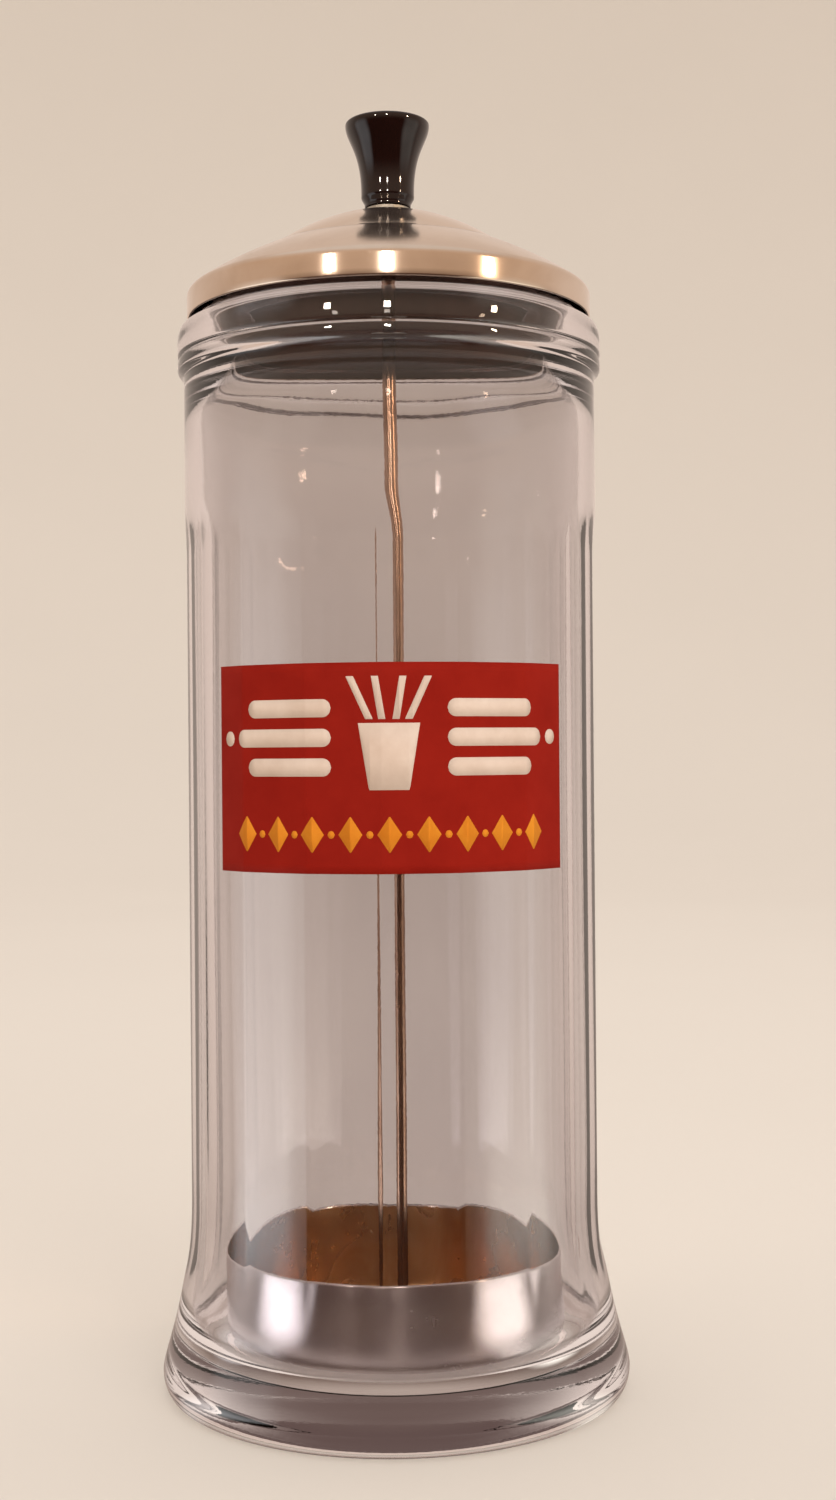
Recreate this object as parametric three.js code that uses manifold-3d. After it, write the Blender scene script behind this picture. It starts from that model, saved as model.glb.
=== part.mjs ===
// A soda-fountain straw dispenser: a tall glass jar with a steel lid that lifts off by a black
// knob. A steel rod under the knob carries a shallow cup, so the straws rise with the lid.
// Millimetres, +Z up. The origin is the centre of the jar's foot on the counter, and the
// printed label faces -Y.
import * as THREE from "three";
import { mergeVertices } from "three/addons/utils/BufferGeometryUtils.js";
import Module from "manifold-3d";

const wasm = await Module();
wasm.setup();

// ---- Driving dimensions -------------------------------------------------------------------

const GAP = 0.3; // kept between pieces that touch on the real object
const FINE_SIDES = 54; // sides of the jar: three to each of its panels
const ROUND_SIDES = 36; // sides of the lid and the cup
const KNOB_SIDES = 32;
const SMALL_SIDES = 24; // sides of the rod, the washers and the bores

const JAR = {
  bodyRadius: 47.3,
  wall: 3.8,
  floorTop: 9.5,
  floorCorner: 8,
  insideFlare: 3.4, // how much wider the inside is at its foot
  insidePull: [15, 6], // how far its curve keeps straight at each end
  footRadius: 50.5,
  puntRadius: 38, // the recess under the base
  puntRim: 41,
  puntDepth: 1.2,
  heelRadius: 53.7,
  heelHeight: 5,
  flareTop: 44,
  flarePull: [3.5, 22],
  shoulder: 231.5, // where the neck rings start
  shoulderRise: 1,
  ringRadius: 48.7,
  grooveRadius: 48.2,
  grooveHeight: 235.5,
  grooveHalf: 0.5,
  ringTop: 239,
  ledgeRadius: 47.4,
  ledgeHeight: 242.8,
  finishRadius: 44.9, // the plain neck inside the lid's skirt
  finishFoot: 243.9,
  mouthRadius: 40.5,
  mouthFoot: 238,
  mouthPull: [6, 7],
  bodyInsideTop: 221,
  rimTop: 251.6,
};

const PANELS = {
  count: 18,
  firstEdge: -2, // degrees from the front, towards +X
  bottom: 24,
  top: 201.5,
  runOut: 11.5, // length over which a panel fades into the round wall
  inset: 0.35, // how deep a panel's edges lie under the round wall
  flatness: 0.63, // 0 is as round as the wall and 1 is flat
};

const LABEL = {
  halfAngle: 51.8, // degrees
  bottom: 120.2,
  height: 44.2,
  thickness: 0.3,
  steps: 32,
};

const LID = {
  skirtRadius: 46.5,
  skirtBottom: 245,
  cornerTop: 251.8,
  cornerSize: 1.9,
  cornerTurn: 56, // degrees from the skirt to the dome
  outerPull: [38.9, 256], // radius and height that the dome's outer part bends towards
  step: [[29.3, 260.3], [28, 260.6]], // the narrow ring pressed into the dome
  innerPull: [19.2, 267.2],
  seatRadius: 7, // the flat under the knob
  apex: 270.1,
  thickness: 0.8,
};

const KNOB = {
  bottom: 271.6,
  footRadius: 5.35,
  footHeight: 0.8,
  waistRadius: 6.15,
  waistFoot: 2.2, // how far above the bottom the waist starts
  waistHeight: 275,
  flarePull: [10, 3.5],
  rimRadius: 9.75,
  rimHeight: 290.9,
  rimEdge: 0.6, // the bevel round the top
  crown: 0.1, // how far the middle of the top stands above its outer half
  top: 292,
  boreDepth: 12.6,
  insertWall: 1.4, // the wall of the brass insert, with the gap round it
  insertStart: 0.2, // how far the insert is set in from the bottom
};

const ROD = {
  radius: 1.6,
  bottom: 11.1,
  top: 283.2,
};

const CUP = {
  radius: 38.7,
  bottom: 10,
  rim: 32.5,
  wall: 0.8,
  corner: 3,
  bossRadius: 14, // the raised middle of the floor, which leaves room for the nut under it
  bossSlope: 3,
  bossRise: 5.2,
};

const NUT = {
  acrossFlats: 7.9,
  thickness: 2.8,
  chamfer: 0.6,
};

const WASHER = {
  radius: 5.2,
  thickness: 0.9,
};

const BORE = ROD.radius + GAP; // every hole that the rod goes through

// ---- Materials ----------------------------------------------------------------------------

const glass = new THREE.MeshStandardMaterial({
  color: 0xd9d2cb,
  roughness: 0.05,
  metalness: 0,
  transparent: true,
  opacity: 0.35,
});
const labelInk = new THREE.MeshStandardMaterial({ color: 0xa8261c, roughness: 0.45, metalness: 0 });
const lidSteel = new THREE.MeshStandardMaterial({ color: 0xcdbcab, roughness: 0.22, metalness: 1 });
const cupSteel = new THREE.MeshStandardMaterial({ color: 0xb9b4b4, roughness: 0.14, metalness: 1 });
const rodSteel = new THREE.MeshStandardMaterial({ color: 0x9a9490, roughness: 0.25, metalness: 1 });
const zincSteel = new THREE.MeshStandardMaterial({ color: 0xb5b2a8, roughness: 0.4, metalness: 1 });
const brass = new THREE.MeshStandardMaterial({ color: 0xb08d4a, roughness: 0.35, metalness: 1 });
const blackPlastic = new THREE.MeshStandardMaterial({
  color: 0x190a08,
  roughness: 0.12,
  metalness: 0,
});

// ---- Shape helpers ------------------------------------------------------------------------

const degrees = THREE.MathUtils.degToRad;

function point(radius, height) {
  return new THREE.Vector2(radius, height);
}

// Points of an elliptical arc, from one angle to another in degrees, both ends included.
function arc(centre, radiusX, radiusY, from, to, steps) {
  const clockwise = to < from;
  const curve = new THREE.EllipseCurve(
    centre.x, centre.y, radiusX, radiusY, degrees(from), degrees(to), clockwise,
  );
  return curve.getPoints(steps);
}

// Points of a curve that leaves one height and reaches the other parallel to the axis. The pull
// is how far it keeps straight at its start and at its end.
function ogee(start, end, [startPull, endPull], steps) {
  const rise = Math.sign(end.y - start.y);
  const curve = new THREE.CubicBezierCurve(
    start,
    point(start.x, start.y + rise * startPull),
    point(end.x, end.y - rise * endPull),
    end,
  );
  return curve.getPoints(steps);
}

// Points of a curve that leaves its start towards a point and comes to its end from there.
function bow(start, pull, end, steps) {
  return new THREE.QuadraticBezierCurve(start, pull, end).getPoints(steps);
}

// An open outline moved sideways to its left by a distance, with its corners kept.
function inset(outline, distance) {
  return outline.map((here, i) => {
    const before = here.clone().sub(outline[Math.max(i - 1, 0)]);
    const after = outline[Math.min(i + 1, outline.length - 1)].clone().sub(here);
    const steps = [before, after].filter((step) => step.length() > 0);
    const sides = steps.map((step) => point(-step.y, step.x).normalize());
    const middle = sides.reduce((sum, side) => sum.add(side), point(0, 0)).normalize();
    return here.clone().addScaledVector(middle, distance / middle.dot(sides[0]));
  });
}

// A solid of revolution about Z. The outline is (radius, height), counter-clockwise seen with
// the axis on the left. It starts and ends on the axis, or its last point repeats its first.
function revolve(outline, sides, turn = 0) {
  const geometry = new THREE.LatheGeometry(outline, sides);
  geometry.rotateX(Math.PI / 2);
  geometry.rotateZ(turn);
  return geometry;
}

function mesh(name, geometry, material) {
  const made = new THREE.Mesh(geometry, material);
  made.name = name;
  return made;
}

// A three.js geometry as a manifold-3d solid.
function solid(geometry) {
  const bare = geometry.clone();
  bare.deleteAttribute("normal");
  bare.deleteAttribute("uv");
  const merged = mergeVertices(bare, 1e-4);
  return new wasm.Manifold(
    new wasm.Mesh({
      numProp: 3,
      vertProperties: merged.attributes.position.array,
      triVerts: new Uint32Array(merged.index.array),
    }),
  );
}

// A manifold-3d solid as a three.js geometry.
function geometryOf(cut) {
  const { vertProperties, triVerts } = cut.getMesh();
  const geometry = new THREE.BufferGeometry();
  geometry.setAttribute("position", new THREE.BufferAttribute(vertProperties, 3));
  geometry.setIndex(new THREE.BufferAttribute(triVerts, 1));
  geometry.computeVertexNormals();
  return geometry;
}

// ---- Jar ----------------------------------------------------------------------------------

// How much of a panel's depth the wall has at a height, from 0 to 1.
function panelShare(height) {
  const above = (height - PANELS.bottom) / PANELS.runOut;
  const below = (PANELS.top - height) / PANELS.runOut;
  return THREE.MathUtils.clamp(Math.min(above, below), 0, 1);
}

// Presses the panels into the outer wall of a round jar that stands on the origin. Its
// first corner lies on a panel's edge.
function pressPanels(geometry) {
  const positions = geometry.attributes.position;
  const withinWall = JAR.bodyRadius - JAR.wall / 4;
  const step = (2 * Math.PI) / PANELS.count;
  for (let i = 0; i < positions.count; i += 1) {
    const x = positions.getX(i);
    const y = positions.getY(i);
    const radius = Math.hypot(x, y);
    const share = panelShare(positions.getZ(i));
    if (radius > withinWall && share > 0) {
      const fromEdge = THREE.MathUtils.euclideanModulo(Math.atan2(x, -y), step);
      const flat = Math.cos(step / 2) / Math.cos(fromEdge - step / 2);
      const scale = 1 - share * (PANELS.inset / JAR.bodyRadius + PANELS.flatness * (1 - flat));
      positions.setXY(i, x * scale, y * scale);
    }
  }
  return geometry;
}

function jarOutline() {
  const insideRadius = JAR.bodyRadius - JAR.wall;
  const heel = arc(
    point(JAR.footRadius, JAR.heelHeight),
    JAR.heelRadius - JAR.footRadius, JAR.heelHeight, -90, 0, 5,
  );
  const flare = ogee(
    point(JAR.heelRadius, JAR.heelHeight), point(JAR.bodyRadius, JAR.flareTop), JAR.flarePull, 9,
  );
  const upperRing = arc(
    point(JAR.ledgeRadius, JAR.ringTop),
    JAR.ringRadius - JAR.ledgeRadius, JAR.ledgeHeight - JAR.ringTop, 0, 90, 4,
  );
  const rimHalf = (JAR.finishRadius - JAR.mouthRadius) / 2;
  const rim = arc(
    point(JAR.mouthRadius + rimHalf, JAR.rimTop - rimHalf), rimHalf, rimHalf, 0, 180, 6,
  );
  const mouth = ogee(
    point(JAR.mouthRadius, JAR.mouthFoot), point(insideRadius, JAR.bodyInsideTop), JAR.mouthPull, 5,
  );
  const insideFoot = insideRadius + JAR.insideFlare;
  const cornerHeight = JAR.floorTop + JAR.floorCorner;
  const insideFlare = ogee(
    point(insideRadius, JAR.flareTop), point(insideFoot, cornerHeight), JAR.insidePull, 5,
  );
  const floorCorner = arc(
    point(insideFoot - JAR.floorCorner, cornerHeight),
    JAR.floorCorner, JAR.floorCorner, 0, -90, 4,
  );
  return [
    point(0, JAR.puntDepth),
    point(JAR.puntRadius, JAR.puntDepth),
    point(JAR.puntRim, 0),
    ...heel,
    ...flare.slice(1),
    point(JAR.bodyRadius, PANELS.top - PANELS.runOut),
    point(JAR.bodyRadius, PANELS.top - PANELS.runOut / 2),
    point(JAR.bodyRadius, PANELS.top),
    point(JAR.bodyRadius, JAR.shoulder),
    point(JAR.ringRadius, JAR.shoulder + JAR.shoulderRise),
    point(JAR.ringRadius, JAR.grooveHeight - JAR.grooveHalf),
    point(JAR.grooveRadius, JAR.grooveHeight),
    point(JAR.ringRadius, JAR.grooveHeight + JAR.grooveHalf),
    ...upperRing,
    point(JAR.finishRadius, JAR.finishFoot),
    ...rim,
    ...mouth,
    ...insideFlare,
    ...floorCorner.slice(1),
    point(0, JAR.floorTop),
  ];
}

function jar() {
  const edgeTurn = degrees(PANELS.firstEdge);
  const round = revolve(jarOutline(), FINE_SIDES);
  return pressPanels(round).rotateZ(edgeTurn);
}

// The printed label is a thin film round the front of the jar.
function label() {
  const inner = JAR.bodyRadius - PANELS.inset + GAP;
  const outer = inner + LABEL.thickness;
  const front = -Math.PI / 2;
  const half = degrees(LABEL.halfAngle);
  const shape = new THREE.Shape();
  shape.absarc(0, 0, outer, front - half, front + half, false);
  shape.absarc(0, 0, inner, front + half, front - half, true);
  const geometry = new THREE.ExtrudeGeometry(shape, {
    depth: LABEL.height,
    bevelEnabled: false,
    curveSegments: LABEL.steps,
  });
  return geometry.translate(0, 0, LABEL.bottom);
}

// ---- Lid ----------------------------------------------------------------------------------

// The lid's outer face, from its skirt to its centre hole.
function lidFace() {
  const corner = point(LID.skirtRadius - LID.cornerSize, LID.cornerTop - LID.cornerSize);
  const turned = arc(corner, LID.cornerSize, LID.cornerSize, 0, LID.cornerTurn, 3);
  const [stepFoot, stepTop] = LID.step.map(([radius, height]) => point(radius, height));
  const seat = point(LID.seatRadius, LID.apex);
  return [
    point(LID.skirtRadius, LID.skirtBottom),
    ...turned,
    ...bow(turned.at(-1), point(...LID.outerPull), stepFoot, 4).slice(1),
    ...bow(stepTop, point(...LID.innerPull), seat, 5),
    point(BORE + GAP, LID.apex),
  ];
}

function lid() {
  const outer = lidFace();
  const inner = inset(outer, LID.thickness);
  return revolve([...outer, ...inner.reverse(), outer[0]], ROUND_SIDES);
}

// ---- Knob ---------------------------------------------------------------------------------

function knob() {
  const boreRadius = BORE + KNOB.insertWall;
  const flare = ogee(
    point(KNOB.waistRadius, KNOB.waistHeight), point(KNOB.rimRadius, KNOB.rimHeight),
    KNOB.flarePull, 9,
  );
  return revolve(
    [
      point(boreRadius, KNOB.bottom),
      point(KNOB.footRadius, KNOB.bottom),
      point(KNOB.footRadius, KNOB.bottom + KNOB.footHeight),
      point(KNOB.waistRadius, KNOB.bottom + KNOB.waistFoot),
      ...flare,
      point(KNOB.rimRadius - KNOB.rimEdge, KNOB.rimHeight + KNOB.rimEdge),
      point(KNOB.rimRadius / 2, KNOB.top - KNOB.crown),
      point(0, KNOB.top),
      point(0, KNOB.bottom + KNOB.boreDepth),
      point(boreRadius, KNOB.bottom + KNOB.boreDepth),
      point(boreRadius, KNOB.bottom),
    ],
    KNOB_SIDES,
  );
}

// The threaded brass insert moulded into the knob.
function knobInsert() {
  const outer = BORE + KNOB.insertWall - GAP;
  const bottom = KNOB.bottom + KNOB.insertStart;
  const top = KNOB.bottom + KNOB.boreDepth - GAP;
  return ring(BORE, outer, bottom, top);
}

// ---- Rod, cup and hardware ----------------------------------------------------------------

function ring(innerRadius, outerRadius, bottom, top) {
  return revolve(
    [
      point(innerRadius, bottom),
      point(outerRadius, bottom),
      point(outerRadius, top),
      point(innerRadius, top),
      point(innerRadius, bottom),
    ],
    SMALL_SIDES,
  );
}

function rod() {
  const tip = 0.4;
  return revolve(
    [
      point(0, ROD.bottom),
      point(ROD.radius - tip, ROD.bottom),
      point(ROD.radius, ROD.bottom + tip),
      point(ROD.radius, ROD.top - tip),
      point(ROD.radius - tip, ROD.top),
      point(0, ROD.top),
    ],
    SMALL_SIDES,
  );
}

// One face of the cup from its rim to its centre hole, moved in by a depth: 0 is the outside.
function cupFace(depth) {
  const side = CUP.radius - depth;
  const floor = CUP.bottom + depth;
  const boss = floor + CUP.bossRise;
  const cornerCentre = point(CUP.radius - CUP.corner, CUP.bottom + CUP.corner);
  const corner = CUP.corner - depth;
  return [
    point(side, CUP.rim),
    ...arc(cornerCentre, corner, corner, 0, -90, 4),
    point(CUP.bossRadius + CUP.bossSlope, floor),
    point(CUP.bossRadius, boss),
    point(BORE, boss),
  ];
}

function cup() {
  const outer = cupFace(0);
  const inner = cupFace(CUP.wall);
  return revolve([...inner, ...outer.reverse(), inner[0]], ROUND_SIDES);
}

function washer(bottom) {
  return ring(BORE, WASHER.radius, bottom, bottom + WASHER.thickness);
}

// A hexagon nut with both faces chamfered, as its prism cut by a turned blank.
function nut(bottom) {
  const corner = NUT.acrossFlats / 2 / Math.cos(Math.PI / 6);
  const hexagon = new THREE.Shape();
  hexagon.moveTo(corner, 0);
  for (let i = 1; i < 6; i += 1) {
    const angle = (i * Math.PI) / 3;
    hexagon.lineTo(corner * Math.cos(angle), corner * Math.sin(angle));
  }
  const prism = new THREE.ExtrudeGeometry(hexagon, {
    depth: NUT.thickness,
    bevelEnabled: false,
  });
  const face = NUT.acrossFlats / 2;
  const blank = revolve(
    [
      point(BORE, 0),
      point(face, 0),
      point(face + 2 * NUT.chamfer, NUT.chamfer),
      point(face + 2 * NUT.chamfer, NUT.thickness - NUT.chamfer),
      point(face, NUT.thickness),
      point(BORE, NUT.thickness),
      point(BORE, 0),
    ],
    SMALL_SIDES,
  );
  const cut = geometryOf(solid(prism).intersect(solid(blank)));
  return cut.translate(0, 0, bottom);
}

// ---- Assembly -----------------------------------------------------------------------------

// Heights of the two stacks of hardware, which clamp the lid and the cup on the rod.
const lidUnderside = LID.apex - LID.thickness;
const knobWasher = LID.apex + GAP;
const lidWasher = lidUnderside - GAP - WASHER.thickness;
const lidNut = lidWasher - GAP - NUT.thickness;
const cupFloorTop = CUP.bottom + CUP.bossRise + CUP.wall;
const cupUpperWasher = cupFloorTop + GAP;
const cupUpperNut = cupUpperWasher + WASHER.thickness + GAP;
const cupLowerWasher = CUP.bottom + CUP.bossRise - GAP - WASHER.thickness;
const cupLowerNut = cupLowerWasher - GAP - NUT.thickness;

function jarGroup() {
  const group = new THREE.Group();
  group.add(mesh("glass_jar", jar(), glass), mesh("front_label", label(), labelInk));
  return group;
}

function liftGroup() {
  const group = new THREE.Group();
  group.add(
    mesh("lid_shell", lid(), lidSteel),
    mesh("knob", knob(), blackPlastic),
    mesh("knob_insert", knobInsert(), brass),
    mesh("knob_washer", washer(knobWasher), zincSteel),
    mesh("lift_rod", rod(), rodSteel),
    mesh("lid_washer", washer(lidWasher), zincSteel),
    mesh("lid_nut", nut(lidNut), zincSteel),
    mesh("straw_cup", cup(), cupSteel),
    mesh("cup_upper_washer", washer(cupUpperWasher), zincSteel),
    mesh("cup_upper_nut", nut(cupUpperNut), zincSteel),
    mesh("cup_lower_washer", washer(cupLowerWasher), zincSteel),
    mesh("cup_lower_nut", nut(cupLowerNut), zincSteel),
  );
  return group;
}

const dispenser = new THREE.Group();
dispenser.add(jarGroup(), liftGroup());

export default dispenser;
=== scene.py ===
"""A glass straw dispenser with a lift-off steel lid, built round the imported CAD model.

The glass, the steel and the knob are turned again here as fine meshes, in the places that the
CAD nodes hold. Outlines are in millimetres in the row frame: radius from the jar's axis, and
height above the counter. Blender's own units are metres, so meshes are scaled as they are made.
"""

import math

import bpy
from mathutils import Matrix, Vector, noise


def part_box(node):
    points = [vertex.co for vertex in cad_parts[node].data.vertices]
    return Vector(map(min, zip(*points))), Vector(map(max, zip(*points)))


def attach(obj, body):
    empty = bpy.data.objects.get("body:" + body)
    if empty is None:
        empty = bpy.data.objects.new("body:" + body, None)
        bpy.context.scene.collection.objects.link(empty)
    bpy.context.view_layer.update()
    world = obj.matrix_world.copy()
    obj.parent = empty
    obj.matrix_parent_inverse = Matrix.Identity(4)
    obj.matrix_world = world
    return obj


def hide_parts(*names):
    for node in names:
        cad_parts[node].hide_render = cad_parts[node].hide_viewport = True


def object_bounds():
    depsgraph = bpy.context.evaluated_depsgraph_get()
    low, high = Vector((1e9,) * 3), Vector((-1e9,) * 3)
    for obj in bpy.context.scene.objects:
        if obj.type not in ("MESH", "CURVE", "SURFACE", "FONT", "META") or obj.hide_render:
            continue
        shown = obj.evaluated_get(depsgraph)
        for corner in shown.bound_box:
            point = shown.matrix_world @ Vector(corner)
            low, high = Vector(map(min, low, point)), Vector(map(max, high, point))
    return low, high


MM = 0.001
TAU = 2 * math.pi

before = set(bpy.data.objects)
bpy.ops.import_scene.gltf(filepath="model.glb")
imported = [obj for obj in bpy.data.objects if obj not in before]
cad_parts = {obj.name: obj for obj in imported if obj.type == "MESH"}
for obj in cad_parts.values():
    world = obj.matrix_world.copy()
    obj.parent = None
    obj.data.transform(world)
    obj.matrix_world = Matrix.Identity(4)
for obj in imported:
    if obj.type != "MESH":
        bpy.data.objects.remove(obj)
cad_low, cad_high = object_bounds()


# ---- Places, from the CAD nodes ----------------------------------------------------------


def heights(node):
    """The lowest and highest point of a CAD node, in millimetres."""
    low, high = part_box(node)
    return low.z / MM, high.z / MM


def radius_of(node):
    """Half the width of a CAD node, in millimetres."""
    low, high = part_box(node)
    return (high.x - low.x) / 2 / MM


RIM_TOP = heights("glass_jar")[1]
HEEL_RADIUS = radius_of("glass_jar")
LID_BOTTOM, LID_TOP = heights("lid_shell")
LID_RADIUS = radius_of("lid_shell")
KNOB_BOTTOM, KNOB_TOP = heights("knob")
KNOB_RADIUS = radius_of("knob")
CUP_BOTTOM, CUP_RIM = heights("straw_cup")
CUP_RADIUS = radius_of("straw_cup")
ROD_BOTTOM, ROD_TOP = heights("lift_rod")
ROD_RADIUS = radius_of("lift_rod")
LABEL_BOTTOM, LABEL_TOP = heights("front_label")

BODY_RADIUS = 47.3
WALL = 3.8
PANEL_COUNT = 18
PANEL_EDGE = math.radians(-2)  # the first panel edge, from the front towards +X
PANEL_BOTTOM = 24
PANEL_TOP = 201.5
PANEL_RUN_OUT = 11.5
PANEL_INSET = 0.35  # how deep a panel's edges lie under the round wall
PANEL_FLATNESS = 0.63  # 0 is as round as the wall, 1 is flat
LABEL_HALF_ANGLE = math.radians(51.8)
FLOOR_TOP = 9.5
FLARE_TOP = 44  # where the foot's flare meets the straight body
NECK_BOTTOM = 230
INSIDE_TOP = 221  # where the straight inside starts to close in to the mouth
INSIDE_FLARE = 3.4  # how much wider the inside is at the foot
FINISH = 44.9  # the outside of the rim, which the lid goes over
MOUTH = 40.5  # the inside of the rim
WAVE_WIDTH, WAVE_LENGTH, WAVE_FADE = 22, 90, 10  # the inner wall's waves, and how they fade out
WAVE_SHARE = 0.006  # how much they change the inner radius


# ---- Outlines ----------------------------------------------------------------------------


def arc(centre, radii, start, end, steps):
    """Points of an elliptical arc between two angles in degrees."""
    points = []
    for i in range(steps + 1):
        angle = math.radians(start + (end - start) * i / steps)
        across = centre[0] + radii[0] * math.cos(angle)
        height = centre[1] + radii[1] * math.sin(angle)
        points.append((across, height))
    return points


def weighted(corners, weights):
    """The point that the weights give between the corners of a curve."""
    return tuple(sum(w * c[axis] for w, c in zip(weights, corners)) for axis in (0, 1))


def ogee(start, end, start_pull, end_pull, steps):
    """Points of a curve that leaves one end and reaches the other parallel to the axis."""
    rise = math.copysign(1, end[1] - start[1])
    leaving = (start[0], start[1] + rise * start_pull)
    coming = (end[0], end[1] - rise * end_pull)
    points = []
    for i in range(steps + 1):
        t = i / steps
        weights = ((1 - t) ** 3, 3 * (1 - t) ** 2 * t, 3 * (1 - t) * t * t, t**3)
        points.append(weighted((start, leaving, coming, end), weights))
    return points


def bow(start, pull, end, steps):
    """Points of a curve that leaves its start towards a point and comes to its end from there."""
    points = []
    for i in range(steps + 1):
        t = i / steps
        points.append(weighted((start, pull, end), ((1 - t) ** 2, 2 * (1 - t) * t, t * t)))
    return points


def straight(start, end, steps):
    """Evenly spaced points of a line, without its first point."""
    return [
        (start[0] + (end[0] - start[0]) * i / steps, start[1] + (end[1] - start[1]) * i / steps)
        for i in range(1, steps + 1)
    ]


def rounded(points, size, steps=4):
    """An outline whose corners between its ends are cut by small curves, which reach size along
    both sides, or less where a side is short."""
    made = [points[0]]
    for before, corner, after in zip(points, points[1:], points[2:]):
        ends = []
        for other in (before, after):
            away = Vector(other) - Vector(corner)
            ends.append(Vector(corner) + away.normalized() * min(size, away.length * 0.45))
        for i in range(steps + 1):
            t = i / steps
            bend = ends[0] * (1 - t) ** 2 + Vector(corner) * 2 * t * (1 - t) + ends[1] * t * t
            made.append(tuple(bend))
    return made + [points[-1]]


def inset(points, depth):
    """A line of points moved sideways to its left, with its corners kept."""
    moved = []
    for i, here in enumerate(points):
        before = Vector(here) - Vector(points[max(i - 1, 0)])
        after = Vector(points[min(i + 1, len(points) - 1)]) - Vector(here)
        steps = [step for step in (before, after) if step.length > 0]
        sides = [Vector((-step.y, step.x)).normalized() for step in steps]
        middle = sum(sides, Vector((0, 0))).normalized()
        moved.append(tuple(Vector(here) + middle * depth / middle.dot(sides[0])))
    return moved


# ---- Mesh making -------------------------------------------------------------------------


def add_object(name, mesh, material):
    """A new object in the scene, which wears the material."""
    mesh.materials.append(material)
    made = bpy.data.objects.new(name, mesh)
    bpy.context.scene.collection.objects.link(made)
    return made


def shade_smooth(mesh, angle=40):
    """Smooth shading, with the edges sharper than an angle kept crisp."""
    mesh.polygons.foreach_set("use_smooth", [True] * len(mesh.polygons))
    mesh.set_sharp_from_angle(angle=math.radians(angle))


def revolve(name, outline, sides, material, shape=None, sharp=40, inside=None):
    """A closed solid turned about the axis from an outline of (radius, height). The outline runs
    counter-clockwise, with the solid on its left, and starts and ends on the axis or joins up.
    shape may move each point (x, y, z). inside is the material of the hollow side, and the
    outline's first place on it and first one past it."""
    closed = outline[0][0] > 1e-6
    vertices, faces, rows = [], [], []
    for radius, height in outline:
        if radius <= 1e-6:
            rows.append([len(vertices)] * sides)
            vertices.append((0, 0, height))
            continue
        rows.append(list(range(len(vertices), len(vertices) + sides)))
        for i in range(sides):
            angle = TAU * i / sides + PANEL_EDGE - TAU / 4
            vertices.append((radius * math.cos(angle), radius * math.sin(angle), height))
    pairs = list(zip(rows, rows[1:])) + ([(rows[-1], rows[0])] if closed else [])
    for low, high in pairs:
        for i in range(sides):
            j = (i + 1) % sides
            corners = [low[i], low[j], high[j], high[i]]
            faces.append([c for k, c in enumerate(corners) if c not in corners[:k]])
    if shape:
        vertices = [shape(*v) for v in vertices]
    mesh = bpy.data.meshes.new(name)
    mesh.from_pydata([[c * MM for c in v] for v in vertices], [], faces)
    made = add_object(name, mesh, material)
    if inside:
        painted_inside, first, last = inside
        mesh.materials.append(painted_inside)
        slots = [int(first <= face // sides < last) for face in range(len(faces))]
        mesh.polygons.foreach_set("material_index", slots)
    mesh.validate()
    shade_smooth(mesh, sharp)
    return made


# ---- Material helpers --------------------------------------------------------------------


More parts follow.
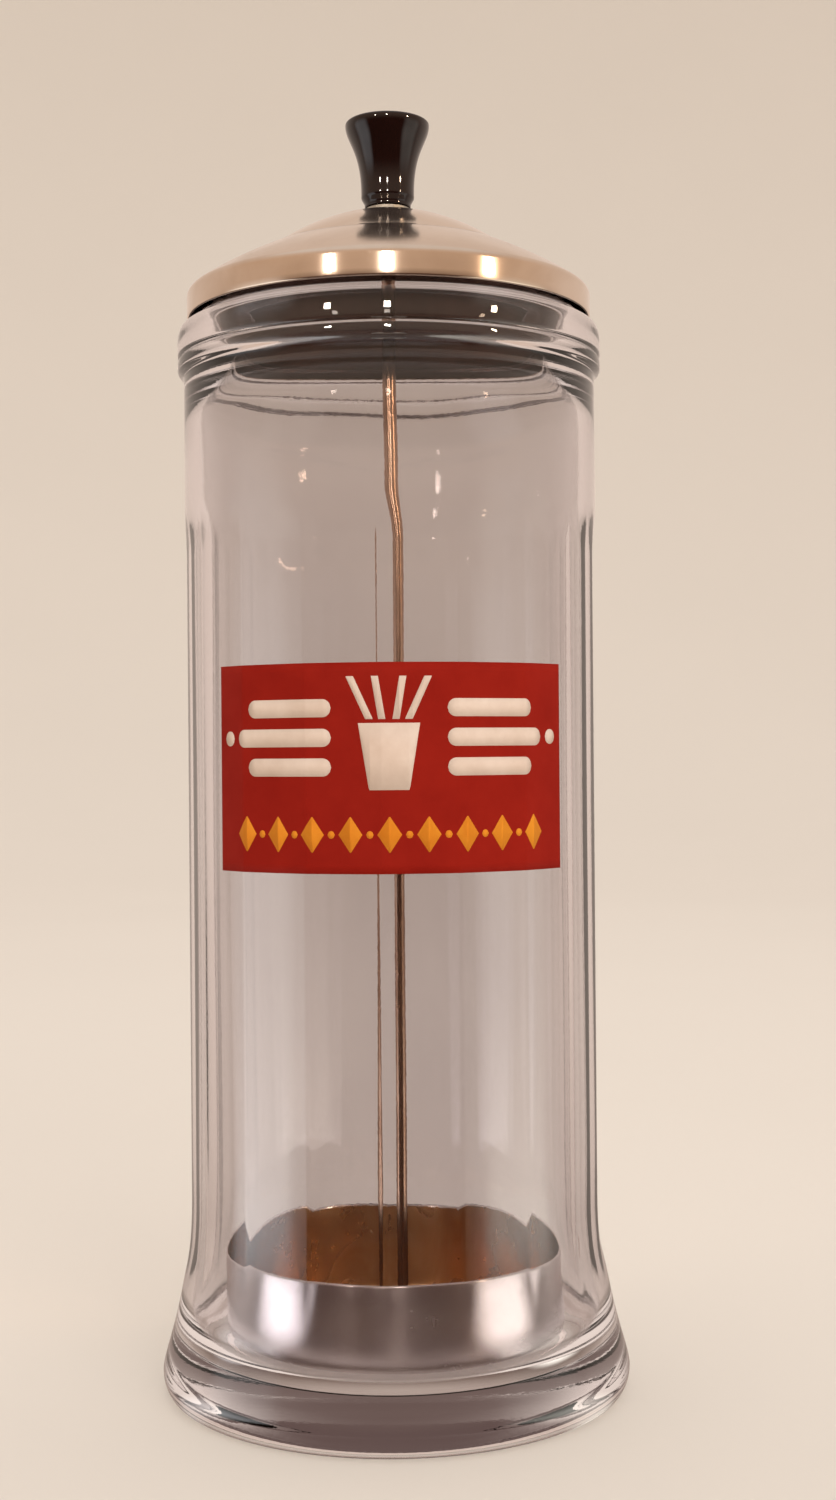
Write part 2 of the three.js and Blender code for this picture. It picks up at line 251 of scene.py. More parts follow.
class Nodes:
    """The node tree of a new material or world, with one short call for each kind of node."""

    def __init__(self, name, home=bpy.data.materials):
        self.block = home.new(name)
        self.block.use_nodes = True
        self.tree = self.block.node_tree
        self.tree.nodes.clear()

    def add(self, kind, inputs=None, **settings):
        node = self.tree.nodes.new(kind)
        for key, value in settings.items():
            setattr(node, key, value)
        for key, value in (inputs or {}).items():
            if isinstance(value, bpy.types.NodeSocket):
                self.tree.links.new(value, node.inputs[key])
            else:
                node.inputs[key].default_value = value
        return node

    def place(self, scale=(1, 1, 1)):
        """Object coordinates, stretched."""
        coordinates = self.add("ShaderNodeTexCoord")
        settings = {"Vector": coordinates.outputs["Object"], "Scale": scale}
        return self.add("ShaderNodeMapping", settings).outputs["Vector"]

    def noise(self, scale, detail=4.0, stretch=(1, 1, 1), roughness=0.5, distortion=0.0):
        settings = {
            "Vector": self.place(stretch),
            "Scale": scale,
            "Detail": detail,
            "Roughness": roughness,
            "Distortion": distortion,
        }
        return self.add("ShaderNodeTexNoise", settings).outputs["Fac"]

    def spread(self, value, low, high, to_low=0.0, to_high=1.0):
        """A value's range from low to high, carried to another range."""
        settings = {
            "Value": value,
            "From Min": low,
            "From Max": high,
            "To Min": to_low,
            "To Max": to_high,
        }
        return self.add("ShaderNodeMapRange", settings).outputs["Result"]

    def soft(self, value, low, high):
        """0 up to low, 1 from high, and an even curve between."""
        settings = {"Value": value, "From Min": low, "From Max": high}
        curve = self.add("ShaderNodeMapRange", settings, interpolation_type="SMOOTHSTEP")
        return curve.outputs["Result"]

    def math(self, operation, first, second=0.0):
        node = self.add("ShaderNodeMath", {0: first, 1: second}, operation=operation)
        return node.outputs["Value"]

    def colours(self, factor, first, second):
        """A mix of two colours, which are a Mix node's inputs 6 and 7, and its output 2."""
        mix = self.add("ShaderNodeMix", {0: factor, 6: first, 7: second}, data_type="RGBA")
        return mix.outputs[2]

    def radius(self):
        """Distance from the jar's axis, in millimetres."""
        flat = self.place((1 / MM, 1 / MM, 0))
        return self.add("ShaderNodeVectorMath", {0: flat}, operation="LENGTH").outputs["Value"]

    def parts(self, vector):
        """The outputs X, Y and Z of a vector."""
        return self.add("ShaderNodeSeparateXYZ", {0: vector}).outputs

    def bump(self, height, strength, distance, before=None):
        """A normal bent by a height of so many millimetres, on top of the normal before it."""
        settings = {"Height": height, "Strength": strength, "Distance": distance * MM}
        if before:
            settings["Normal"] = before
        return self.add("ShaderNodeBump", settings).outputs["Normal"]

    def principled(self, **inputs):
        named = {key.replace("_", " "): value for key, value in inputs.items()}
        return self.add("ShaderNodeBsdfPrincipled", named).outputs["BSDF"]

    def finish(self, shader, output="ShaderNodeOutputMaterial"):
        self.add(output, {"Surface": shader})
        return self.block


def rgb(red, green, blue):
    """A colour given as a screen shows it, 0 to 255, in linear light."""
    def linear(value):
        value /= 255
        return value / 12.92 if value <= 0.04045 else ((value + 0.055) / 1.055) ** 2.4

    return (linear(red), linear(green), linear(blue), 1.0)


# ---- Materials ---------------------------------------------------------------------------


def glass_material():
    """Pressed soda glass: faint ripples, a few smears, and lamps shine through it."""
    n = Nodes("clear_glass")
    ripple = n.noise(9, detail=1.5, stretch=(1, 1, 0.35))
    smears = n.noise(26, detail=5, stretch=(1, 1, 0.5), distortion=0.6)
    speckle = n.noise(900, detail=2)
    normal = n.bump(ripple, 0.35, 1.2)
    normal = n.bump(speckle, 0.08, 0.05, normal)
    rough = n.spread(smears, 0.56, 0.8, 0.0, 0.07)
    tint = n.colours(n.spread(smears, 0.4, 0.7), (0.87, 0.835, 0.845, 1), (0.83, 0.795, 0.81, 1))
    glass = n.principled(
        Base_Color=tint,
        Roughness=rough,
        IOR=1.5,
        Transmission_Weight=1.0,
        Normal=normal,
    )
    clear = n.add("ShaderNodeBsdfTransparent", {"Color": (0.86, 0.85, 0.84, 1)}).outputs["BSDF"]
    path = n.add("ShaderNodeLightPath").outputs["Is Shadow Ray"]
    mix = n.add("ShaderNodeMixShader", {0: path, 1: glass, 2: clear}).outputs["Shader"]
    return n.finish(mix)


def steel_material(name, colour, dark, roughness, lines, line_depth, stretch):
    """Spun or drawn stainless steel: fine rings about the axis, which stretch reflections across
    them, and soft hand marks. lines is how many rings there are in a metre, about."""
    n = Nodes(name)
    up_rings = n.noise(lines, detail=3, stretch=(0, 0, 1))
    ring_place = n.math("MULTIPLY", n.radius(), lines * MM)
    settings = {"W": ring_place, "Detail": 3.0}
    flat_rings = n.add("ShaderNodeTexNoise", settings, noise_dimensions="1D").outputs["Fac"]
    grain = n.math("ADD", up_rings, flat_rings)
    marks = n.noise(38, detail=6, distortion=0.8)
    scratches = n.noise(420, detail=2, stretch=(1, 0.06, 1))
    base = n.colours(n.spread(marks, 0.35, 0.7), colour, dark)
    handled = n.spread(marks, 0.4, 0.75, roughness, roughness + 0.08)
    rough = n.math("ADD", handled, n.spread(scratches, 0.62, 0.75, 0.0, 0.05))
    normal = n.bump(grain, 0.5, line_depth)
    tangent = n.add("ShaderNodeTangent", direction_type="RADIAL", axis="Z").outputs["Tangent"]
    shader = n.principled(
        Base_Color=base,
        Metallic=1.0,
        Roughness=rough,
        Anisotropic=stretch,
        Anisotropic_Rotation=0.25,
        Tangent=tangent,
        Normal=normal,
    )
    return n.finish(shader)


def plated_material():
    """Zinc-plated hardware, a little blotched and dull."""
    n = Nodes("plated_steel")
    blotch = n.noise(300, detail=4)
    pits = n.noise(2500, detail=2)
    base = n.colours(blotch, rgb(190, 186, 176), rgb(150, 147, 140))
    shader = n.principled(
        Base_Color=base,
        Metallic=1.0,
        Roughness=n.spread(blotch, 0.3, 0.7, 0.25, 0.45),
        Normal=n.bump(pits, 0.2, 0.05),
    )
    return n.finish(shader)


def brass_material():
    """Turned brass with fine tool rings."""
    n = Nodes("insert_brass")
    rings = n.noise(3000, detail=2, stretch=(0, 0, 1))
    stain = n.noise(260, detail=4)
    shader = n.principled(
        Base_Color=n.colours(stain, rgb(205, 168, 92), rgb(160, 120, 58)),
        Metallic=1.0,
        Roughness=n.spread(stain, 0.3, 0.7, 0.22, 0.4),
        Normal=n.bump(rings, 0.3, 0.05),
    )
    return n.finish(shader)


def knob_material():
    """Glossy black moulded plastic, with hairline scratches and a few dull smears."""
    n = Nodes("black_plastic")
    smears = n.noise(90, detail=5, distortion=0.5)
    hairs = n.noise(700, detail=2, stretch=(1, 0.05, 0.4))
    orange_peel = n.noise(260, detail=1.5)
    smeared = n.spread(smears, 0.45, 0.75, 0.03, 0.12)
    rough = n.math("ADD", smeared, n.spread(hairs, 0.62, 0.72, 0.0, 0.08))
    shader = n.principled(
        Base_Color=n.colours(smears, rgb(20, 6, 5), rgb(28, 12, 9)),
        Roughness=rough,
        IOR=1.45,
        Normal=n.bump(orange_peel, 0.12, 0.12),
    )
    return n.finish(shader)


def ink_material(name, colour, worn):
    """Screen-printed ink on glass: slightly uneven cover, a soft gloss and pinholes."""
    n = Nodes(name)
    cover = n.noise(120, detail=6, roughness=0.6)
    pinholes = n.noise(1500, detail=2)
    base = n.colours(n.spread(cover, 0.3, 0.75), colour, worn)
    shader = n.principled(
        Base_Color=base,
        Roughness=n.spread(cover, 0.3, 0.7, 0.5, 0.62),
        Specular_IOR_Level=0.06,
        Normal=n.bump(pinholes, 0.15, 0.04),
    )
    return n.finish(shader)


class Patch:
    """A patch of light on the room's walls, as bright as light up to middle degrees from its
    azimuth, which counts rightwards from the front, and fading out at edge degrees. At eye level
    it has only a share of the light it has lower down."""

    def __init__(self, azimuth, middle, edge, eye_level_share, light):
        turn = math.radians(azimuth)
        self.towards = (math.sin(turn), -math.cos(turn), 0)
        self.nearness = (math.cos(math.radians(edge)), math.cos(math.radians(middle)))
        self.eye_level_share = eye_level_share
        self.light = light


PATCHES = (
    Patch(-78, 9, 26, 0.28, (4.8, 4.8, 4.8, 1)),
    Patch(74, 12, 29, 0.2, (4.8, 4.6, 4.1, 1)),
)
FRONT_LOW = (0.1, 0.05, 0.035, 1)
FRONT_HIGH = (0.76, 0.56, 0.42, 1)
BACK_LOW = (0.46, 0.36, 0.3, 1)
BACK_HIGH = (0.82, 0.67, 0.57, 1)
CEILING = (0.9, 0.84, 0.8, 1)
FLOOR = (0.5, 0.4, 0.34, 1)
TRAPPED = (0.88, 0.75, 0.67, 1)  # what a ray sees that has been mirrored twice or more
TRAPPED_BEHIND = (0.15, 0.1, 0.09, 1)


def room_light(n, direction):
    """What the shiny pieces mirror in a direction: a dim brown room in front, lighter higher up,
    pale walls behind and above, and a patch of light on the left and on the right."""
    part = n.parts(direction)
    room = n.colours(n.soft(part["Z"], 0.0, 0.36), FRONT_LOW, FRONT_HIGH)
    back = n.colours(n.soft(part["Z"], -0.2, 0.02), BACK_LOW, BACK_HIGH)
    pale = n.math("MAXIMUM", n.soft(part["Y"], -0.25, 0.5), n.soft(part["Z"], 0.4, 0.8))
    room = n.colours(pale, room, back)
    room = n.colours(n.soft(part["Z"], 0.72, 0.92), room, CEILING)
    room = n.colours(n.soft(part["Z"], -0.35, -0.7), room, FLOOR)
    below_top = n.soft(part["Z"], 0.34, 0.0)
    for patch in PATCHES:
        level = n.spread(part["Z"], -0.22, -0.02, 1.0, patch.eye_level_share)
        vectors = {0: direction, 1: patch.towards}
        nearness = n.add("ShaderNodeVectorMath", vectors, operation="DOT_PRODUCT").outputs["Value"]
        height_share = n.math("MULTIPLY", below_top, level)
        reach = n.math("MULTIPLY", n.soft(nearness, *patch.nearness), height_share)
        room = n.colours(reach, room, patch.light)
    return room


def stage_material():
    """A plain pale studio sweep to the camera and to soft light, and a little darker through the
    glass. A ray that has been mirrored once sees the room instead, as its place on the sweep lies
    from inside the cup. A ray mirrored more often sees one plain tone, darker at the back."""
    n = Nodes("studio_sweep")
    cloud = n.noise(3, detail=3)
    plain = n.principled(
        Base_Color=n.colours(cloud, rgb(191, 186, 179), rgb(186, 181, 174)),
        Roughness=0.85,
        Emission_Color=rgb(224, 211, 198),
        Emission_Strength=0.3,
    )
    path = n.add("ShaderNodeLightPath").outputs
    # Painted shade: seen through the glass, the sweep is darkened by 15%, for the shade behind the
    # jar.
    through = n.math("GREATER_THAN", path["Transmission Depth"], 0.5)
    darker = n.add("ShaderNodeMixShader", {0: n.math("MULTIPLY", through, 0.15), 1: plain})

    vectors = {0: n.place(), 1: (0, -0.02, 0.02)}
    from_cup = n.add("ShaderNodeVectorMath", vectors, operation="SUBTRACT").outputs["Vector"]
    towards = n.add("ShaderNodeVectorMath", {0: from_cup}, operation="NORMALIZE").outputs["Vector"]
    trapped = n.colours(n.soft(n.parts(towards)["Y"], 0.72, 0.97), TRAPPED, TRAPPED_BEHIND)
    twice = n.math("GREATER_THAN", path["Glossy Depth"], 1.5)
    light = n.colours(twice, room_light(n, towards), trapped)
    room = n.add("ShaderNodeEmission", {"Color": light}).outputs["Emission"]

    once = n.math("GREATER_THAN", path["Glossy Depth"], 0.5)
    shader = n.add("ShaderNodeMixShader", {0: once, 1: darker.outputs["Shader"], 2: room})
    n.block.cycles.emission_sampling = "NONE"
    return n.finish(shader.outputs["Shader"])


GLASS = glass_material()
LID_STEEL = steel_material(
    "lid_steel", rgb(219, 202, 186), rgb(202, 182, 163), 0.115, 1500, 0.01, 0.6
)
# Painted shade: the lid's underside is the same steel as its top, painted dark brown for the shade
# inside the lid.
LID_UNDERSIDE_SHADE = steel_material("lid_underside_painted_shade", rgb(74, 50, 40), rgb(54, 36, 28), 0.36, 1500, 0.004, 0.4)
CUP_STEEL = steel_material(
    "cup_steel", rgb(205, 200, 200), rgb(184, 178, 178), 0.2, 1200, 0.004, 0.85
)
# Painted reflection: the cup's inside is the same steel as its outside, tinted warm brown for the
# brown surroundings it mirrors.
CUP_INSIDE_REFLECTION = steel_material(
    "cup_inside_painted_reflection", rgb(200, 164, 128), rgb(160, 124, 90), 0.24, 1200, 0.004, 0.5
)
ROD_STEEL = steel_material("rod_steel", rgb(176, 150, 130), rgb(134, 104, 84), 0.2, 700, 0.01, 0.3)
PLATED = plated_material()
BRASS = brass_material()
BLACK = knob_material()
RED_INK = ink_material("label_red", rgb(148, 28, 16), rgb(136, 23, 13))
CREAM_INK = ink_material("label_cream", rgb(226, 208, 194), rgb(208, 186, 170))
AMBER_INK = ink_material("label_amber", rgb(228, 146, 44), rgb(214, 124, 34))


# ---- Jar ---------------------------------------------------------------------------------


def panel_share(height):
    """How much of a panel's depth the wall has at a height, from 0 to 1."""
    above = (height - PANEL_BOTTOM) / PANEL_RUN_OUT
    below = (PANEL_TOP - height) / PANEL_RUN_OUT
    share = max(0.0, min(1.0, above, below))
    return share * share * (3 - 2 * share)


def panel_scale(angle, height):
    """What a panel multiplies the wall's radius by, at an angle from the front."""
    step = TAU / PANEL_COUNT
    from_edge = (angle - PANEL_EDGE) % step
    flat = math.cos(step / 2) / math.cos(from_edge - step / 2)
    depth = PANEL_INSET / BODY_RADIUS + PANEL_FLATNESS * (1 - flat)
    return 1 - panel_share(height) * depth


def press_panels(x, y, z):
    """The jar's outer wall is pressed flat in panels, and its inner one waves a little."""
    radius = math.hypot(x, y)
    wave_top = INSIDE_TOP - 1
    if radius > BODY_RADIUS - 0.4:
        scale = panel_scale(math.atan2(x, -y), z)
    elif radius > BODY_RADIUS - WALL - 3 and FLARE_TOP < z < wave_top:
        wave = noise.noise(Vector((x / WAVE_WIDTH, y / WAVE_WIDTH, z / WAVE_LENGTH)))
        fade = min(1, (z - FLARE_TOP) / WAVE_FADE, (wave_top - z) / WAVE_FADE)
        scale = 1 + WAVE_SHARE * fade * wave
    else:
        scale = 1
    return x * scale, y * scale, z


def foot_outline():
    """The underside with its shallow recess, the ring that the jar stands on, and the flare."""
    recess, recess_end, ring_end, heel = 1.2, 38, 50.5, 5
    corners = [(recess_end, recess), (39.5, 1.1), (41.5, 0), (47, 0), (ring_end, 0)]
    outline = [(0, recess), *straight((0, recess), (recess_end, recess), 4)]
    outline += rounded(corners, 1.2)[1:]
    outline += arc((ring_end, heel), (HEEL_RADIUS - ring_end, heel), -90, 0, 14)[1:]
    return outline + ogee((HEEL_RADIUS, heel), (BODY_RADIUS, FLARE_TOP), 3.5, 22, 40)[1:]


def body_outline():
    """The body's outside, with more points where the panels run out."""
    heights_and_steps = (
        (PANEL_TOP - PANEL_RUN_OUT - 1, 24),
        (PANEL_TOP + 1, 20),
        (NECK_BOTTOM, 6),
    )
    outline = []
    below = FLARE_TOP
    for height, steps in heights_and_steps:
        outline += straight((BODY_RADIUS, below), (BODY_RADIUS, height), steps)
        below = height
    return outline


def neck_outline():
    """The ring round the neck with its groove, and the ledge that the lid's skirt ends above."""
    ring, ring_bottom, ring_top = 48.7, 232.6, 239
    groove, groove_depth = 235.5, 0.7
    ledge, ledge_height = 47.4, 242.8
    corners = [
        (BODY_RADIUS, NECK_BOTTOM),
        (BODY_RADIUS, NECK_BOTTOM + 1.5),
        (ring, ring_bottom),
        (ring, groove - 0.5),
        (ring - groove_depth, groove),
        (ring, groove + 0.5),
        (ring, ring_top),
    ]
    outline = rounded(corners, 0.7)[1:]
    outline += arc((ledge, ring_top), (ring - ledge, ledge_height - ring_top), 0, 90, 12)[1:]
    step = [(ledge, ledge_height), (FINISH + 0.6, 243.2), (FINISH, 244.2), (FINISH, 246)]
    return outline + rounded(step, 0.5)[1:]


def inside_outline():
    """The mouth's round rim, then down the inside to the middle of the floor."""
    inside = BODY_RADIUS - WALL
    rim_half = (FINISH - MOUTH) / 2
    foot, corner = inside + INSIDE_FLARE, 8
    corner_height = FLOOR_TOP + corner
    outline = arc((MOUTH + rim_half, RIM_TOP - rim_half), (rim_half, rim_half), 0, 180, 16)
    outline += ogee((MOUTH, 238), (inside, INSIDE_TOP), 6, 7, 24)
    outline += straight((inside, INSIDE_TOP), (inside, FLARE_TOP), 60)
    outline += ogee((inside, FLARE_TOP), (foot, corner_height), 15, 6, 20)[1:]
    outline += arc((foot - corner, corner_height), (corner, corner), 0, -90, 12)[1:]
    return outline + straight((foot - corner, FLOOR_TOP), (0, FLOOR_TOP), 6)


def make_jar():
    outline = foot_outline() + body_outline() + neck_outline() + inside_outline()
    jar = revolve("jar_glass", outline, 360, GLASS, press_panels, sharp=70)
    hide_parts("glass_jar")
    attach(jar, "jar")


# ---- Label -------------------------------------------------------------------------------


def on_jar(across, height, lift):
    """The point on the jar's face at an arc length from the front's middle, lifted off it."""
    angle = across / BODY_RADIUS
    radius = BODY_RADIUS * panel_scale(angle, height) + lift
    return radius * math.sin(angle), -radius * math.cos(angle), height


def printed(name, patches, lift, thickness, material):
    """A print on the jar's face, made of patches of columns (across, lower, upper height)."""
    vertices, faces = [], []
    for columns in patches:
        tall = columns[0][2] - columns[0][1] > 25
        rows = 23 if tall else 2
        first = len(vertices)
        for across, lower, upper in columns:
            for k in range(rows):
                level = lower + (upper - lower) * k / (rows - 1)
                vertices.append(on_jar(across, level, lift))
        for i in range(len(columns) - 1):
            for k in range(rows - 1):
                corner = first + i * rows + k
                faces.append((corner, corner + rows, corner + rows + 1, corner + 1))
    mesh = bpy.data.meshes.new(name)
    mesh.from_pydata([[c * MM for c in v] for v in vertices], [], faces)
    shade_smooth(mesh, 30)
    made = add_object(name, mesh, material)
    solid = made.modifiers.new("film", "SOLIDIFY")
    solid.thickness = thickness * MM
    solid.offset = -1
    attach(made, "jar")
    return made


def columns(start, end, lower, upper, step=0.4):
    """Columns of a patch between two functions of the distance across."""
    count = max(2, round((end - start) / step))
    places = [start + (end - start) * i / count for i in range(count + 1)]
    return [(x, lower(x), upper(x)) for x in places]


def bar(start, end, middle, half):
    """A level bar with round ends."""
    def bulge(x):
        reach = min(x - start, end - x, half)
        return math.sqrt(max(half * half - (half - reach) ** 2, 0.0004))

    return columns(start, end, lambda x: middle - bulge(x), lambda x: middle + bulge(x), 0.25)


def disc(across, middle, half):
    return bar(across - half, across + half, middle, half)


def diamond(across, middle, half_width, half_height):
    def reach(x):
        return max(half_height * (1 - abs(x - across) / half_width), 0.02)

    start, end = across - half_width, across + half_width
    return columns(start, end, lambda x: middle - reach(x), lambda x: middle + reach(x), 0.25)


def slanted(foot, top, bottom, height, width):
    """A straight stripe from one place across at the bottom to another at the top."""
    lean = (top - foot) / height
    half = width / 2 * math.hypot(1, 1 / lean)

    def middle(x):
        return bottom + (x - foot) / lean

    return columns(
        min(foot, top) - width / 2, max(foot, top) + width / 2,
        lambda x: min(max(middle(x) - half, bottom), bottom + height - 0.05),
        lambda x: max(min(middle(x) + half, bottom + height), bottom + 0.05),
        0.15,
    )


def tumbler(across, bottom, height, foot, mouth):
    """A plain drinking glass, wider at its mouth."""
    def lower(x):
        beyond = max(abs(x - across) - foot, 0)
        return bottom + beyond / (mouth - foot) * (height - 0.1)

    return columns(across - mouth, across + mouth, lower, lambda x: bottom + height, 0.2)


def label_cream():
    """A tumbler with straws, between deco bars that step down towards the edges."""
    middle = LABEL_BOTTOM + 28.5
    patches = [tumbler(0, middle - 11, 14, 4.3, 6.6)]
    for foot, top in ((-4.2, -8.4), (-1.5, -3.0), (1.5, 3.0), (4.2, 8.4)):
        patches.append(slanted(foot, top, middle + 3.8, 9.0, 1.5))
    for side in (-1, 1):
        for row, reach in enumerate((33, 36, 33)):
            level = middle + (1 - row) * 6.2
            ends = sorted((side * 12.5, side * reach))
            patches.append(bar(ends[0], ends[1], level, 1.9))
        patches.append(disc(side * 39.2, middle, 1.6))
    return patches


def label_amber():
    """A level row of diamonds, with a dot between each two."""
    level, pitch = LABEL_BOTTOM + 8.2, 8.4
    patches = []
    for step in range(-4, 5):
        patches.append(diamond(step * pitch, level, 2.6, 3.9))
    for step in range(-4, 4):
        patches.append(disc((step + 0.5) * pitch, level, 0.8))
    return patches


def make_label():
    reach = BODY_RADIUS * LABEL_HALF_ANGLE
    sheet = columns(-reach, reach, lambda x: LABEL_BOTTOM, lambda x: LABEL_TOP)
    red = printed("label_red_ground", [sheet], 0.14, 0.08, RED_INK)
    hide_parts("front_label")
    printed("label_cream_ornament", label_cream(), 0.17, 0.03, CREAM_INK)
    printed("label_amber_row", label_amber(), 0.17, 0.03, AMBER_INK)


# ---- Lid and knob ------------------------------------------------------------------------

LID_SHEET = 0.8
LID_CORNER = 1.9
LID_CORNER_TOP = 251.8
LID_CORNER_TURN = 56  # degrees from the skirt to the dome
LID_STEP = ((29.3, 260.3), (28, 260.6))  # a narrow flat ring in the dome
LID_SEAT = 7  # the flat middle that the knob stands on
LID_HOLE = 2.2


def lid_face():
    """The lid's outer face, from its skirt to its centre hole."""
    centre = (LID_RADIUS - LID_CORNER, LID_CORNER_TOP - LID_CORNER)
    outline = straight((LID_RADIUS, LID_BOTTOM), (LID_RADIUS, centre[1]), 3)
    outline += arc(centre, (LID_CORNER, LID_CORNER), 0, LID_CORNER_TURN, 12)[1:]
    outline += bow(outline[-1], (38.9, 256), LID_STEP[0], 20)[1:]
    outline += bow(LID_STEP[1], (19.2, 267.2), (LID_SEAT, LID_TOP), 24)
    return outline + [(LID_HOLE, LID_TOP)]


def make_lid():
    outer = lid_face()
    inner = inset(outer, LID_SHEET)
    half = LID_SHEET / 2
    edge = arc((LID_RADIUS - half, LID_BOTTOM + 0.4), (half, 0.4), -180, 0, 8)
    outline = edge + outer + inner[::-1]
    # The lid's underside wears the painted shade.
    painted_inside = (LID_UNDERSIDE_SHADE, len(edge + outer), len(outline))
    lid = revolve("lid_steel_shell", outline, 256, LID_STEEL, sharp=50, inside=painted_inside)
    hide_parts("lid_shell")
    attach(lid, "lid")


def knob_outline():
    """The knob's outside from its bore, and then the blind bore that holds the insert. Near the
    axis the crown folds back over itself, in layers up to 0.06 mm apart."""
    bore, bore_depth = 3.3, 12.6
    foot, waist = 5.35, 6.15
    foot_height, waist_bottom, waist_top = (KNOB_BOTTOM + rise for rise in (0.8, 2.2, 3.4))
    edge, edge_height = 0.9, 0.75
    rim_height = KNOB_TOP - 1.3
    crown_edge = KNOB_RADIUS - edge
    corners = [
        (bore, KNOB_BOTTOM),
        (foot, KNOB_BOTTOM),
        (foot, foot_height),
        (waist, waist_bottom),
        (waist, waist_top),
    ]
    outline = rounded(corners, 0.35)
    outline += ogee((waist, waist_top), (KNOB_RADIUS, rim_height), 10, 3.5, 40)[1:]
    outline += arc((crown_edge, rim_height), (edge, edge_height), 0, 80, 10)[1:]
    outline += arc((0, rim_height + 0.55), (crown_edge, edge_height), 80, 90, 8)[:-1]
    outline += [(KNOB_RADIUS * 0.5, rim_height + 1.3 - 0.06), (0, rim_height + 1.3)]
    return outline + [(0, KNOB_BOTTOM + bore_depth), (bore, KNOB_BOTTOM + bore_depth)]


def make_knob():
    knob = revolve("knob_black", knob_outline(), 128, BLACK, sharp=50)
    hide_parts("knob")
    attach(knob, "lift")


# ---- Rod, cup and hardware ---------------------------------------------------------------


def make_rod():
    """A plain bar with its two ends chamfered."""
    chamfer = 0.4
    low, high = ROD_BOTTOM + chamfer, ROD_TOP - chamfer
    outline = [(0, ROD_BOTTOM), (ROD_RADIUS - chamfer, ROD_BOTTOM), (ROD_RADIUS, low)]
    outline += straight((ROD_RADIUS, low), (ROD_RADIUS, high), 60)
    outline += [(ROD_RADIUS - chamfer, ROD_TOP), (0, ROD_TOP)]
    rod = revolve("rod_steel_bar", outline, 48, ROD_STEEL)
    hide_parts("lift_rod")
    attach(rod, "lift")


CUP_SHEET = 0.7
CUP_CORNER = 3
CUP_BOSS_RISE = 5.2
CUP_HOLE = 2


def cup_face(depth):
    """One face of the cup, so deep in from its outside, from under its rim to its centre hole."""
    corner = CUP_CORNER - depth
    floor = CUP_BOTTOM + depth
    boss = floor + CUP_BOSS_RISE
    side = CUP_RADIUS - depth
    corner_height = CUP_BOTTOM + CUP_CORNER
    outline = straight((side, CUP_RIM - 0.8), (side, corner_height), 6)
    outline += arc((CUP_RADIUS - CUP_CORNER, corner_height), (corner, corner), 0, -90, 14)[1:]
    middle = [(30, floor), (17, floor), (14, boss), (8, boss), (CUP_HOLE, boss)]
    return outline + rounded(middle, 1.6, 8)


def make_cup():
    half = CUP_SHEET / 2
    rim = arc((CUP_RADIUS - half, CUP_RIM - 0.5), (half, 0.5), 0, 180, 8)
    hollow = cup_face(CUP_SHEET)
    # The cup's hollow side wears the painted brown reflection.
    painted_inside = (CUP_INSIDE_REFLECTION, len(rim) - 1, len(rim + hollow))
    outline = rim + hollow + cup_face(0)[::-1]
    cup = revolve("cup_steel_bowl", outline, 256, CUP_STEEL, sharp=60, inside=painted_inside)
    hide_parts("straw_cup")
    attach(cup, "lift")


def dress(node, material):
    """Gives a CAD node its material, and smooths its round sides."""
    node.data.materials.clear()
    node.data.materials.append(material)
    shade_smooth(node.data, 35)


def finish_hardware():
    """The nuts, the washers and the insert keep their CAD shape and get their metal."""
    for name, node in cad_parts.items():
        if name.endswith(("_nut", "_washer")):
            dress(node, PLATED)
        elif name == "knob_insert":
            dress(node, BRASS)


# ---- Studio ------------------------------------------------------------------------------


def make_stage():
    """A pale floor that curves up into a round wall, open above and well outside every view."""
    floor_reach, bend, wall_top = 1500, 1300, 3200
    wall = floor_reach + bend
    thickness, depth = 100, 40
    outline = [(0.0, 0.0)]
    outline += straight((0, 0), (floor_reach, 0), 10)
    outline += arc((floor_reach, bend), (bend, bend), -90, 0, 24)[1:]
    outline += straight((wall, bend), (wall, wall_top), 3)
    outline += [(wall + thickness, wall_top), (wall + thickness, -depth), (0, -depth)]
    sweep = revolve("studio_sweep", outline[::-1], 96, stage_material())
    sweep.data.flip_normals()


def add_light(name, place, target, size, colour, power):
    """A square area light at a place in metres, turned to a target, that no camera sees."""
    data = bpy.data.lights.new(name, "AREA")
    data.shape = "RECTANGLE"
    data.size = data.size_y = size
    data.color = colour
    data.energy = power
    lamp = bpy.data.objects.new(name, data)
    bpy.context.scene.collection.objects.link(lamp)
    lamp.location = place
    lamp.rotation_euler = (Vector(target) - Vector(place)).to_track_quat("-Z", "Y").to_euler()
    lamp.visible_camera = False
    return lamp


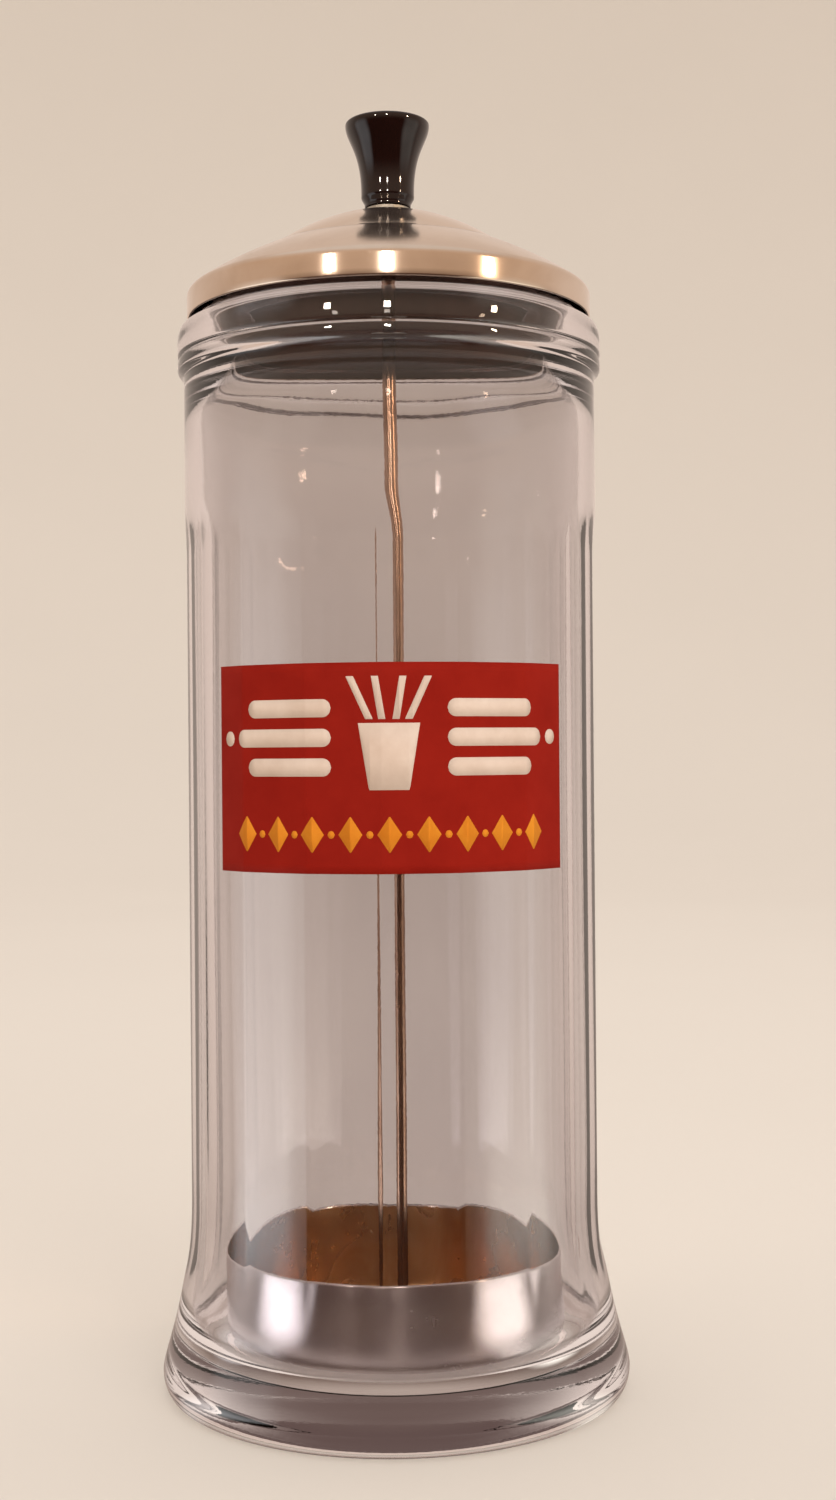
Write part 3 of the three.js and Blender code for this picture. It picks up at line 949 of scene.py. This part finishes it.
WARM_WHITE = (1.0, 0.97, 0.94)
LAMP_SIZE, LAMP_DISTANCE, LAMP_HEIGHT = 0.08, 1.5, 0.58
LAMPS = (  # degrees right of the front, colour, watts
    (-31, (1.0, 0.86, 0.74), 2.6),
    (0, (1.0, 0.88, 0.76), 4.2),
    (57, (1.0, 0.73, 0.5), 4.4),
)


def make_lights():
    """A broad overhead light and a softer one in front, which neither the shiny pieces nor the
    glass show, and a row of small lamps for highlights, which light nothing matt."""
    middle = (0, 0, 0.1)
    overhead = add_light("overhead", (0, 0.4, 2.3), middle, 3.4, WARM_WHITE, 26)
    front = add_light("front", (0.9, -1.9, 1.1), middle, 1.6, WARM_WHITE, 10.5)
    front.data.spread = math.radians(110)
    for soft_light in (overhead, front):
        soft_light.visible_glossy = False
        soft_light.visible_transmission = False
    for azimuth, colour, power in LAMPS:
        turn = math.radians(azimuth)
        place = (LAMP_DISTANCE * math.sin(turn), -LAMP_DISTANCE * math.cos(turn), LAMP_HEIGHT)
        lamp = add_light("lamp", place, (0, 0, 0.23), LAMP_SIZE, colour, power)
        lamp.visible_diffuse = False


def make_world():
    """The same room, above the sweep's open top."""
    n = Nodes("studio", bpy.data.worlds)
    light = room_light(n, n.add("ShaderNodeTexCoord").outputs["Generated"])
    background = n.add("ShaderNodeBackground", {"Color": light}).outputs["Background"]
    n.block.cycles.sampling_method = "NONE"
    bpy.context.scene.world = n.finish(background, "ShaderNodeOutputWorld")


def make_camera():
    """The photograph's view: level with half the jar's height, 6 mm right of its axis, and with
    a small roll."""
    data = bpy.data.cameras.new("photo_view")
    data.lens = 46.8
    camera = bpy.data.objects.new("photo_view", data)
    bpy.context.scene.collection.objects.link(camera)
    half_height = (cad_low.z + cad_high.z) / 2
    camera.location = (0.006, -0.4524, half_height)
    camera.rotation_euler = (math.radians(90), math.radians(0.46), 0)
    bpy.context.scene.camera = camera


# ---- Scene -------------------------------------------------------------------------------

make_camera()
make_world()
make_lights()
make_stage()
make_jar()
make_label()
make_lid()
make_knob()
make_rod()
make_cup()
finish_hardware()
bpy.context.scene.view_settings.view_transform = "Standard"
